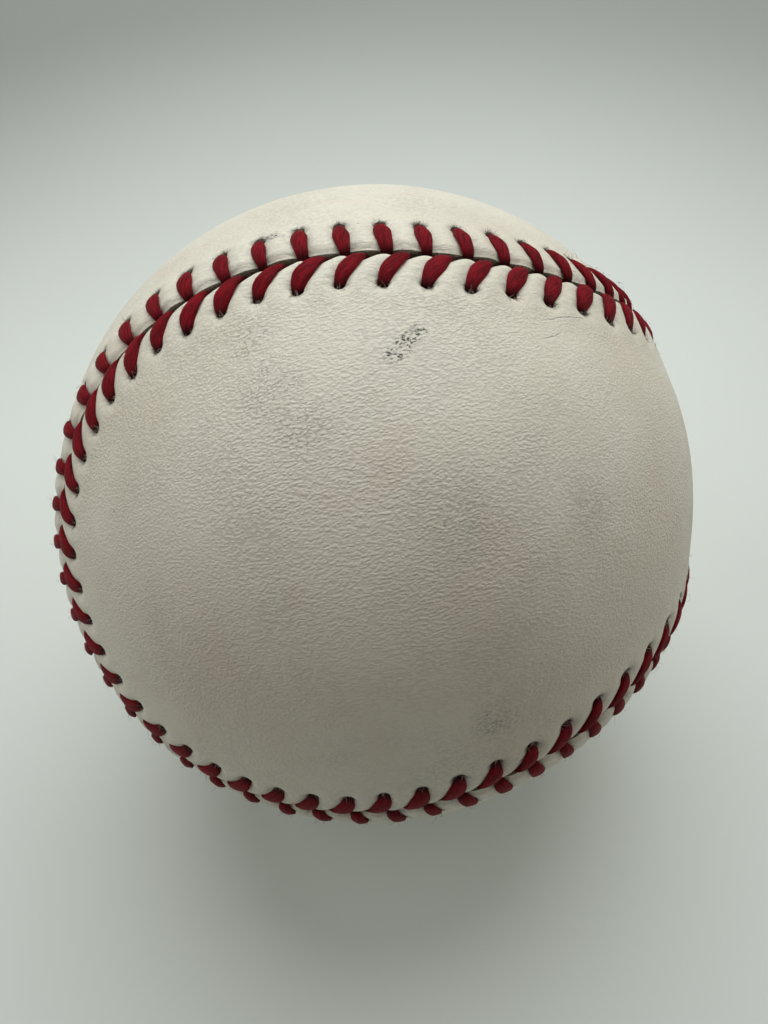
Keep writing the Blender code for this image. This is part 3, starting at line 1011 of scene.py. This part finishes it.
def leather_tones(nodes, place, height, crease):
    """Cream hide with warmer and pinker patches, and grey where its creases are worn."""
    tone = nodes.between(nodes.noise(place, 38.0, 4.0, 0.6), 0.35, 0.72)
    colour = nodes.mix(tone, CREAM, WARM)
    blush = nodes.between(nodes.noise(place, 130.0, 3.0, 0.6, 0.3), 0.57, 0.72, 0.0, 0.38)
    colour = nodes.mix(blush, colour, PINKISH)
    low = nodes.between(height, 0.50, 0.22)
    worn = nodes.between(nodes.noise(place, 95.0, 4.0, 0.65), 0.42, 0.68, 0.08, 0.32)
    colour = nodes.mix(nodes.math("MULTIPLY", low, worn), colour, GREYED)
    return nodes.mix(nodes.math("MULTIPLY", crease, 0.45), colour, GREYED)


def leather_dirt(nodes, place, height, colour):
    """The colour with smudges, grey pores, and dirt with painted shade round the holes and beside
    the stitches.
    """
    specked, veiled = smudged(nodes, place)
    colour = nodes.mix(veiled, colour, GREYED)
    fleck_place = nodes.place(scale=(0.6, 1.0, 1.0))
    flecks = nodes.between(nodes.noise(fleck_place, 5200.0, 2.0, 0.6), 0.50, 0.59)
    flecks = nodes.math("MULTIPLY", flecks, nodes.between(height, 0.60, 0.42))
    colour = nodes.mix(nodes.math("MULTIPLY", flecks, specked), colour, SOOT)
    pores = nodes.between(nodes.voronoi(place, 420.0), 0.085, 0.035)
    sparse = nodes.between(nodes.noise(place, 210.0, 2.0), 0.54, 0.66)
    colour = nodes.mix(nodes.math("MULTIPLY", pores, sparse), colour, GREYED)
    # Dirt and painted shade: near black at the holes' rims, and fainter beside each stitch.
    ragged = nodes.between(nodes.noise(place, 1500.0, 3.0), 0.35, 0.60)
    soil = nodes.math("MULTIPLY", nodes.attribute("soil"), ragged)
    return nodes.mix(nodes.math("MULTIPLY", soil, 0.80), colour, SOOT)


def leather_material():
    nodes = Nodes("white_cowhide")
    place = nodes.place()
    height = leather_grain(nodes, place)
    crease = long_creases(nodes, place)
    colour = leather_tones(nodes, place, height, crease)
    colour = leather_dirt(nodes, place, height, colour)
    rough = nodes.between(nodes.noise(place, 700.0, 2.0), 0.3, 0.7, 0.50, 0.66)
    normal = leather_relief(nodes, place, height, crease)
    nodes.shader.inputs["Specular IOR Level"].default_value = 0.4
    return nodes.finish(Base_Color=colour, Roughness=rough, Normal=normal)


def cut_material():
    nodes = Nodes("cut_cowhide")
    place = nodes.place()
    fibre = nodes.noise(place, 4200.0, 4.0, 0.7, 0.8)
    colour = nodes.mix(nodes.between(fibre, 0.3, 0.7), *CUT_LEATHER)
    return nodes.finish(Base_Color=colour, Roughness=0.9, Normal=nodes.bump(fibre, 1.0, 0.2 * MM))


def thread_material():
    """Waxed crimson thread: fine fibres run along it, with painted shade in the valleys between
    them, and it darkens where it sinks in, by painted shade with some dirt.
    """
    nodes = Nodes("waxed_red_thread")
    strand = nodes.add("ShaderNodeAttribute", {"attribute_name": "strand"}).outputs["Vector"]
    squeeze = nodes.add("ShaderNodeMapping", Vector=strand)
    squeeze.inputs["Scale"].default_value = (1.0, 1.0, 0.13)
    along = squeeze.outputs["Vector"]
    fibre = nodes.noise(along, 5.5, 3.0, 0.6, 0.2)
    fine = nodes.noise(along, 14.0, 3.0, 0.65)
    height = nodes.math("ADD", fibre, nodes.math("MULTIPLY", fine, 0.7))
    # Painted shade: the thread is darker where the fibres' height is low.
    shade = nodes.between(height, 0.62, 1.08)
    colour = nodes.mix(shade, *CRIMSON)
    # Painted shade, with some dirt: the thread darkens where it sinks into the holes.
    sunk_shade_and_dirt = nodes.between(nodes.attribute("depth"), 0.22, -0.22)
    colour = nodes.mix(nodes.math("MULTIPLY", sunk_shade_and_dirt, 0.85), colour, SUNK_SHADE_AND_DIRT_CRIMSON)
    normal = nodes.bump(height, 0.9, 0.16 * MM)
    rough = nodes.between(fine, 0.3, 0.7, 0.48, 0.70)
    nodes.shader.inputs["Specular IOR Level"].default_value = 0.10
    return nodes.finish(Base_Color=colour, Roughness=rough, Normal=normal)


def plain_fibre(name, dark, light):
    nodes = Nodes(name)
    colour = nodes.mix(nodes.noise(nodes.place(), 900.0, 2.0), dark, light)
    return nodes.finish(Base_Color=colour, Roughness=0.8)


def wound_material(name, dark, light, cycles, turn):
    """Yarn wound in crossing directions: two sets of ridges that take turns on top."""
    nodes = Nodes(name)
    height = None
    for angle in (turn, turn + 1.05, turn + 2.2):
        place = nodes.place(turn=(angle, angle * 0.7, 0.4))
        wave = nodes.add("ShaderNodeTexWave", Vector=place, Scale=cycles, Distortion=1.4)
        wave.inputs["Detail Scale"].default_value = 0.6
        over = nodes.between(nodes.noise(place, 90.0, 2.0), 0.45, 0.55)
        ridge = nodes.math("MULTIPLY", wave.outputs["Fac"], over)
        height = ridge if height is None else nodes.math("MAXIMUM", height, ridge)
    fluff = nodes.noise(nodes.place(), 3500.0, 3.0, 0.7)
    height = nodes.math("ADD", height, nodes.math("MULTIPLY", fluff, 0.4))
    colour = nodes.mix(nodes.between(height, 0.2, 1.2), dark, light)
    nodes.shader.inputs["Sheen Weight"].default_value = 0.3
    return nodes.finish(Base_Color=colour, Roughness=0.92, Normal=nodes.bump(height, 1.0, 0.4 * MM))


def cork_material():
    nodes = Nodes("cork_composition")
    place = nodes.place()
    grain = nodes.add("ShaderNodeTexVoronoi", Vector=place, Scale=900.0)
    tone = nodes.add("ShaderNodeSeparateColor", Color=grain.outputs["Color"]).outputs["Red"]
    colour = nodes.mix(tone, *CORK)
    binder = nodes.voronoi(place, 900.0, "DISTANCE_TO_EDGE")
    colour = nodes.mix(nodes.between(binder, 0.0, 0.06), CORK_BINDER, colour)
    return nodes.finish(Base_Color=colour, Roughness=0.85, Normal=nodes.bump(binder, 0.8, 0.2 * MM))


def rubber_material(name, dark, light):
    nodes = Nodes(name)
    place = nodes.place()
    bloom = nodes.between(nodes.noise(place, 180.0, 4.0, 0.6), 0.4, 0.7)
    pores = nodes.noise(place, 2600.0, 2.0)
    colour = nodes.mix(bloom, dark, light)
    return nodes.finish(Base_Color=colour, Roughness=0.6, Normal=nodes.bump(pores, 0.4, 0.1 * MM))


def dress_the_inside():
    """Materials for the carried-over parts: the pill and the windings under the cover."""
    black = rubber_material("black_rubber", *BLACK_RUBBER)
    red = rubber_material("red_rubber", *RED_RUBBER)
    chosen = {
        "cork_core": cork_material(),
        "inner_rubber_upper": black,
        "inner_rubber_lower": black,
        "rubber_washer": red,
        "outer_rubber_upper": red,
        "outer_rubber_lower": red,
        "first_winding": wound_material("grey_blue_wool", *GREY_BLUE_WOOL, 260.0, 0.2),
        "second_winding": wound_material("white_wool", *WHITE_WOOL, 280.0, 0.9),
        "third_winding": wound_material("grey_wool", *GREY_WOOL, 280.0, 1.6),
        "finishing_winding": wound_material("finishing_yarn", *FINISHING_YARN, 420.0, 2.3),
    }
    for name, material in chosen.items():
        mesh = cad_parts[name].data
        mesh.materials.clear()
        mesh.materials.append(material)
        mesh.shade_smooth()


# ---------------------------------------------------------------- the whole


add_camera()
add_lights()
add_floor()
LEATHER_MATERIALS = [leather_material(), cut_material()]
add_leather(1, "a", LEATHER_MATERIALS)
add_leather(-1, "b", LEATHER_MATERIALS)
add_thread(thread_material())
add_thread_hairs(plain_fibre("red_fibre", *CRIMSON_FIBRE))
add_hole_fluff(plain_fibre("leather_fibre", *LEATHER_FIBRE))
dress_the_inside()
